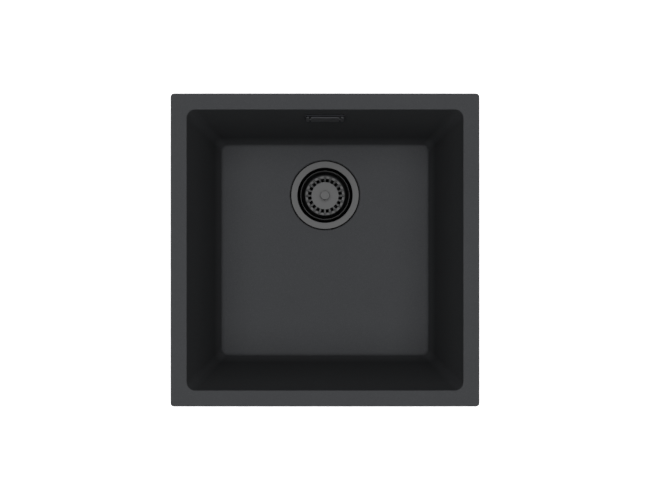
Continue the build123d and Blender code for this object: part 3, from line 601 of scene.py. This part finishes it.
coated_steel, tree, shader, place = new_finish("stainless steel, brushed and dark coated")
rings = ring_lines(tree, place, DRAIN_AXIS, BRUSH_SPACING)
facing = add_node(tree, "ShaderNodeNewGeometry").outputs["Normal"]
upward = add_node(tree, "ShaderNodeSeparateXYZ", {0: facing}).outputs[2]
# Faces that look up are brushed, and their colour also takes a painted light.
brushed = add_node(
    tree, "ShaderNodeMapRange", {"Value": upward, "From Min": BRUSHED_AND_LIT_LOOKS_UP, "From Max": 1}
).outputs[0]
# Painted light: the tops get #7F8081 to #8D8D8D, and the bends and walls the darker #5C5D5E.
painted_light_ring_colour = add_node(
    tree,
    "ShaderNodeMix",
    {0: rings, 6: linear("#7F8081"), 7: linear("#8D8D8D")},
    data_type="RGBA",
)
steel_colour_with_painted_light = add_node(
    tree,
    "ShaderNodeMix",
    {0: brushed, 6: linear("#5C5D5E"), 7: painted_light_ring_colour.outputs[2]},
    data_type="RGBA",
)
satin = add_node(
    tree, "ShaderNodeMath", {0: rings, 1: SATIN_SPREAD, 2: SATIN}, operation="MULTIPLY_ADD"
)
steel_roughness = add_node(
    tree, "ShaderNodeMapRange", {"Value": brushed, "To Min": SMOOTH, "To Max": satin.outputs[0]}
)
ring_bump = add_node(
    tree, "ShaderNodeBump", {"Height": rings, "Distance": RING_RELIEF, "Strength": 0.4}
)
ring_tangent = add_node(tree, "ShaderNodeTangent", direction_type="RADIAL", axis="Z")
fill(
    tree,
    shader,
    {
        "Base Color": steel_colour_with_painted_light.outputs[2],
        "Metallic": 1,
        "Roughness": steel_roughness.outputs[0],
        "Anisotropic": 0.4,
        "Tangent": ring_tangent.outputs[0],
        "Normal": ring_bump.outputs[0],
    },
)
print("steel rings in mm:", BRUSH_SPACING / MM)

# %% [markdown]
# ## Turned stainless steel and brass
#
# The screws, the washer and the basket's stem are turned from bright stainless steel, and the
# nut in the hub from brass. A lathe leaves fine rings, so both share the ring pattern of the
# strainer. Brass also dulls in patches, which a slow noise darkens.

# %% Bright stainless steel
LATHE_SPACING = 0.5 * MM

bright_steel, tree, shader, place = new_finish("stainless steel, turned bright")
rings = ring_lines(tree, place, DRAIN_AXIS, LATHE_SPACING)
turned_colour = add_node(
    tree,
    "ShaderNodeMix",
    {0: rings, 6: linear("#A9AAAC"), 7: linear("#C9CACC")},
    data_type="RGBA",
)
turned_roughness = add_node(
    tree, "ShaderNodeMapRange", {"Value": rings, "To Min": 0.2, "To Max": 0.36}
)
turned_bump = add_node(
    tree, "ShaderNodeBump", {"Height": rings, "Distance": RING_RELIEF, "Strength": 0.5}
)
fill(
    tree,
    shader,
    {
        "Base Color": turned_colour.outputs[2],
        "Metallic": 1,
        "Roughness": turned_roughness.outputs[0],
        "Normal": turned_bump.outputs[0],
    },
)
print("lathe rings in mm:", LATHE_SPACING / MM)

# %% Machined brass
TARNISH = 6 * MM

brass, tree, shader, place = new_finish("brass, machined")
rings = ring_lines(tree, place, DRAIN_AXIS, LATHE_SPACING)
tarnish = add_node(
    tree,
    "ShaderNodeTexNoise",
    {"Vector": place, "Scale": 1 / TARNISH, "Detail": 4, "Roughness": 0.65},
)
brass_colour = add_node(
    tree,
    "ShaderNodeMix",
    {0: tarnish.outputs[0], 6: linear("#8F6F36"), 7: linear("#D0AC66")},
    data_type="RGBA",
)
brass_roughness = add_node(
    tree, "ShaderNodeMapRange", {"Value": rings, "To Min": 0.25, "To Max": 0.45}
)
brass_bump = add_node(
    tree, "ShaderNodeBump", {"Height": rings, "Distance": RING_RELIEF, "Strength": 0.4}
)
fill(
    tree,
    shader,
    {
        "Base Color": brass_colour.outputs[2],
        "Metallic": 1,
        "Roughness": brass_roughness.outputs[0],
        "Normal": brass_bump.outputs[0],
    },
)
print("bright metals:", bright_steel.name, "and", brass.name)

# %% [markdown]
# ## Moulded plastics
#
# The waste body and the rear housing of the overflow are black polypropylene from a
# spark-eroded mould, which leaves a fine even texture with a soft sheen. The overflow's frame
# and its clip-on cover are ABS with a satin face, tinted to go with the bowl, the frame a shade
# darker. The pipe and its nuts are grey polypropylene, slightly waxy. They differ in colour,
# sheen and grain, so one function builds all four from those few numbers.

# %% How a plastic is made up
FLOW_MARKS = 14 * MM
SHEEN_SPREAD = 0.06


def moulded_plastic(name, dark, light, roughness, gloss, grain, relief):
    """Plastic from a textured mould: grain and relief are in metres."""
    material, tree, shader, place = new_finish(name)
    flow = add_node(
        tree,
        "ShaderNodeTexNoise",
        {"Vector": place, "Scale": 1 / FLOW_MARKS, "Detail": 4, "Roughness": 0.6},
    )
    pits = add_node(
        tree,
        "ShaderNodeTexNoise",
        {"Vector": place, "Scale": 1 / grain, "Detail": 2, "Roughness": 0.5},
    )
    colour = add_node(
        tree,
        "ShaderNodeMix",
        {0: flow.outputs[0], 6: linear(dark), 7: linear(light)},
        data_type="RGBA",
    )
    sheen = add_node(
        tree,
        "ShaderNodeMapRange",
        {
            "Value": flow.outputs[0],
            "From Min": 0.3,
            "From Max": 0.7,
            "To Min": roughness - SHEEN_SPREAD,
            "To Max": roughness + SHEEN_SPREAD,
        },
    )
    texture = add_node(
        tree, "ShaderNodeBump", {"Height": pits.outputs[0], "Distance": relief, "Strength": 0.5}
    )
    fill(
        tree,
        shader,
        {
            "Base Color": colour.outputs[2],
            "Roughness": sheen.outputs[0],
            "Specular IOR Level": gloss,
            "IOR": 1.49,
            "Normal": texture.outputs[0],
        },
    )
    return material


print("flow marks in mm:", round(FLOW_MARKS / MM))

# %% Four plastics
black_plastic = moulded_plastic(
    "polypropylene, black, spark-eroded mould",
    dark="#161718",
    light="#1F2022",
    roughness=0.5,
    gloss=0.3,
    grain=0.8 * MM,
    relief=0.04 * MM,
)
frame_plastic = moulded_plastic(
    "ABS, charcoal satin",
    dark="#202124",
    light="#252629",
    roughness=0.55,
    gloss=0.2,
    grain=0.7 * MM,
    relief=0.02 * MM,
)
cover_plastic = moulded_plastic(
    "ABS, dark grey satin",
    dark="#38393B",
    light="#3E3F41",
    roughness=0.55,
    gloss=0.2,
    grain=0.7 * MM,
    relief=0.02 * MM,
)
pipe_plastic = moulded_plastic(
    "polypropylene, grey, waxy",
    dark="#A4A6A8",
    light="#B4B6B8",
    roughness=0.42,
    gloss=0.5,
    grain=1.2 * MM,
    relief=0.03 * MM,
)
print("plastics:", black_plastic.name, frame_plastic.name, cover_plastic.name, pipe_plastic.name)

# %% [markdown]
# ## Rubber
#
# Gaskets, seals and the stem's ring are black EPDM rubber. It is matt, and a whitish bloom
# comes to its surface in soft patches.

# %% EPDM rubber
BLOOM = 9 * MM
CRUMB = 0.6 * MM
CRUMB_RELIEF = 0.03 * MM

rubber, tree, shader, place = new_finish("EPDM rubber, moulded")
bloom = add_node(
    tree,
    "ShaderNodeTexNoise",
    {"Vector": place, "Scale": 1 / BLOOM, "Detail": 5, "Roughness": 0.65},
)
crumb = add_node(tree, "ShaderNodeTexNoise", {"Vector": place, "Scale": 1 / CRUMB, "Detail": 2})
rubber_colour = add_node(
    tree,
    "ShaderNodeMix",
    {0: bloom.outputs[0], 6: linear("#0A0A0A"), 7: linear("#121212")},
    data_type="RGBA",
)
rubber_roughness = add_node(
    tree, "ShaderNodeMapRange", {"Value": bloom.outputs[0], "To Min": 0.6, "To Max": 0.85}
)
rubber_bump = add_node(
    tree,
    "ShaderNodeBump",
    {"Height": crumb.outputs[0], "Distance": CRUMB_RELIEF, "Strength": 0.5},
)
fill(
    tree,
    shader,
    {
        "Base Color": rubber_colour.outputs[2],
        "Roughness": rubber_roughness.outputs[0],
        "Specular IOR Level": 0.1,
        "IOR": 1.52,
        "Normal": rubber_bump.outputs[0],
    },
)
print("rubber:", rubber.name)

# %% [markdown]
# ## Dress the solids
#
# Each solid takes one finish. The list reads like a parts list, and a solid that is missing
# from it stops the script.

# %% Finishes of the solids
finishes = {
    composite: ["sink_bowl"],
    coated_steel: ["strainer_cup", "basket", "basket_knob"],
    bright_steel: ["clamp_screw", "clamp_washer", "basket_stem", "overflow_screw"],
    brass: ["clamp_nut"],
    black_plastic: ["waste_body", "outlet_funnel", "overflow_elbow"],
    frame_plastic: ["overflow_frame"],
    cover_plastic: ["overflow_cover"],
    pipe_plastic: ["overflow_hose", "hose_nut_upper", "hose_nut_lower"],
    rubber: [
        "strainer_gasket",
        "body_gasket",
        "basket_seal",
        "stem_ring",
        "overflow_front_gasket",
        "overflow_rear_gasket",
        "hose_seal_upper",
        "hose_seal_lower",
    ],
}
dressed = set()
for material, names in finishes.items():
    for name in names:
        solids[name].data.materials.clear()
        solids[name].data.materials.append(material)
        dressed.add(name)
assert dressed == set(solids), set(solids) - dressed
print("dressed solids:", len(dressed))

# %% [markdown]
# ## Ribbed overflow pipe
#
# The overflow pipe is a blow-moulded bellows: plain cuffs at both ends and rounded ribs every
# 4 mm between them. A bevelled curve can't carry ribs, and a bump wouldn't show at its edges,
# so the tube is a mesh. It follows one smooth spline that the route's points steer: down from
# the rear housing, round one bend and forward to the waste body. At each station along the
# spline a ring of points takes the radius that the bellows has there.

# %% Pipe route
PIPE_ROUTE = [
    (0, 216.10, -64.18),
    (0, 199.53, -199.12),
    (0, 194.84, -237.30),
    (0, 156.80, -237.30),
]
ROUTE_STEPS = 160

route_data = bpy.data.curves.new("pipe_route", "CURVE")
route_data.dimensions = "3D"
route_data.resolution_u = ROUTE_STEPS
spline = route_data.splines.new("NURBS")
spline.points.add(len(PIPE_ROUTE) - 1)
for point, (x, y, z) in zip(spline.points, PIPE_ROUTE):
    point.co = (x * MM, y * MM, z * MM, 1)
spline.order_u = 3
spline.use_endpoint_u = True
route = bpy.data.objects.new("pipe_route", route_data)
route_mesh = bpy.data.meshes.new_from_object(route)
line = [vertex.co.copy() for vertex in route_mesh.vertices]
bpy.data.objects.remove(route)
reach = [0.0]
for before, after in zip(line, line[1:]):
    reach.append(reach[-1] + (after - before).length)
pipe_length = reach[-1]
print("pipe length in mm:", round(pipe_length / MM, 1), "stations:", len(line))

# %% Pipe profile
RIB_PITCH = 4.0 * MM
CREST = 10.0 * MM
VALLEY = 8.9 * MM
# A power below 1 broadens the crests and narrows the valleys.
RIB_POWER = 0.6
SAMPLES_PER_RIB = 8
CUFF = 9.6 * MM
CUFF_LENGTH = 20 * MM
COLLAR = 11.6 * MM
COLLAR_LENGTH = 2 * MM
PIPE_BORE = 7.8 * MM
BORE_STEPS = 40

rib_count = int((pipe_length - 2 * CUFF_LENGTH) / RIB_PITCH)
ribs_from = (pipe_length - rib_count * RIB_PITCH) / 2
profile = [(0, PIPE_BORE), (0, COLLAR), (COLLAR_LENGTH, COLLAR), (COLLAR_LENGTH, CUFF)]
profile.append((ribs_from - RIB_PITCH / 4, CUFF))
for sample in range(rib_count * SAMPLES_PER_RIB + 1):
    wave = 0.5 - 0.5 * math.cos(2 * math.pi * sample / SAMPLES_PER_RIB)
    rib_radius = VALLEY + (CREST - VALLEY) * wave**RIB_POWER
    profile.append((ribs_from + sample * RIB_PITCH / SAMPLES_PER_RIB, rib_radius))
profile.append((pipe_length - ribs_from + RIB_PITCH / 4, CUFF))
profile.append((pipe_length - COLLAR_LENGTH, CUFF))
profile.append((pipe_length - COLLAR_LENGTH, COLLAR))
profile += [(pipe_length, COLLAR), (pipe_length, PIPE_BORE)]
for step in range(1, BORE_STEPS):
    profile.append((pipe_length * (1 - step / BORE_STEPS), PIPE_BORE))
print("pipe ribs:", rib_count, "rings:", len(profile))

# %% Pipe mesh
PIPE_SIDES = 48
ACROSS = Vector((1, 0, 0))


def on_route(distance):
    """Point and direction of the pipe's line at a distance from its upper end."""
    step = 0
    while step < len(line) - 2 and reach[step + 1] < distance:
        step += 1
    share = (distance - reach[step]) / (reach[step + 1] - reach[step])
    return line[step].lerp(line[step + 1], share), (line[step + 1] - line[step]).normalized()


pipe_points = []
for distance, radius in profile:
    centre, direction = on_route(distance)
    up = direction.cross(ACROSS).normalized()
    for side in range(PIPE_SIDES):
        turn = 2 * math.pi * side / PIPE_SIDES
        pipe_points.append(centre + radius * (math.cos(turn) * ACROSS + math.sin(turn) * up))
pipe_faces = []
for ring in range(len(profile)):
    here = ring * PIPE_SIDES
    there = (ring + 1) % len(profile) * PIPE_SIDES
    for side in range(PIPE_SIDES):
        beside = (side + 1) % PIPE_SIDES
        pipe_faces.append((here + side, here + beside, there + beside, there + side))
pipe_mesh = bpy.data.meshes.new("ribbed_pipe")
pipe_mesh.from_pydata(pipe_points, [], pipe_faces)
pipe_mesh.shade_smooth()
pipe_mesh.materials.append(pipe_plastic)
pipe = bpy.data.objects.new("ribbed_pipe", pipe_mesh)
bpy.context.scene.collection.objects.link(pipe)
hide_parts("overflow_hose")
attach(pipe, "sink")
print("pipe faces:", len(pipe_faces))

# %% [markdown]
# ## Outlet thread
#
# The outlet of the waste body carries a parallel pipe thread with 11 turns to the inch, where
# the trap's nut goes on. The solid is plain there. A thread is a small ridge that climbs one
# pitch in each turn, so it is made as a four-cornered section carried along a helix. It fades
# into the wall at both ends, as a moulded thread does.

# %% Thread points
THREAD_PITCH = 25.4 / 11 * MM
THREAD_ROOT = 23.6 * MM
THREAD_CREST = 24.2 * MM
THREAD_TURNS = 9
THREAD_STEPS = 72
THREAD_MARGIN = 2.0 * MM
FADE_TURNS = 0.5
# Half the width of the ridge at its foot and at its crest, in pitches.
HALF_FOOT = 0.42
HALF_CREST = 0.14

outlet_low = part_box("outlet_funnel")[0]
thread_start = outlet_low.z + THREAD_MARGIN
thread_points = []
steps = THREAD_TURNS * THREAD_STEPS
for step in range(steps + 1):
    turn = 2 * math.pi * step / THREAD_STEPS
    turns_to_end = min(step, steps - step) / THREAD_STEPS
    crest = THREAD_ROOT + (THREAD_CREST - THREAD_ROOT) * min(1, turns_to_end / FADE_TURNS)
    rise = thread_start + THREAD_PITCH * step / THREAD_STEPS
    section = [
        (THREAD_ROOT, -HALF_FOOT),
        (crest, -HALF_CREST),
        (crest, HALF_CREST),
        (THREAD_ROOT, HALF_FOOT),
    ]
    for radius, lift in section:
        x = radius * math.cos(turn)
        y = DRAIN_AXIS[1] + radius * math.sin(turn)
        thread_points.append((x, y, rise + lift * THREAD_PITCH))
thread_top = max(point[2] for point in thread_points)
print("thread turns:", THREAD_TURNS, "top in mm:", round(thread_top / MM, 1))

# %% Thread ridge
thread_faces = [(0, 1, 2, 3), tuple(4 * steps + corner for corner in (3, 2, 1, 0))]
for step in range(steps):
    here = 4 * step
    there = here + 4
    for corner in range(4):
        after = (corner + 1) % 4
        thread_faces.append((here + corner, there + corner, there + after, here + after))
thread_mesh = bpy.data.meshes.new("outlet_thread")
thread_mesh.from_pydata(thread_points, [], thread_faces)
thread_mesh.materials.append(black_plastic)
thread = bpy.data.objects.new("outlet_thread", thread_mesh)
bpy.context.scene.collection.objects.link(thread)
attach(thread, "sink")
print("thread faces:", len(thread_faces))

# %% Compare the boxes
visual_low, visual_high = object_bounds()
growth = (visual_high - visual_low) - (cad_high - cad_low)
print("growth in mm:", [round(size / MM, 2) for size in growth])
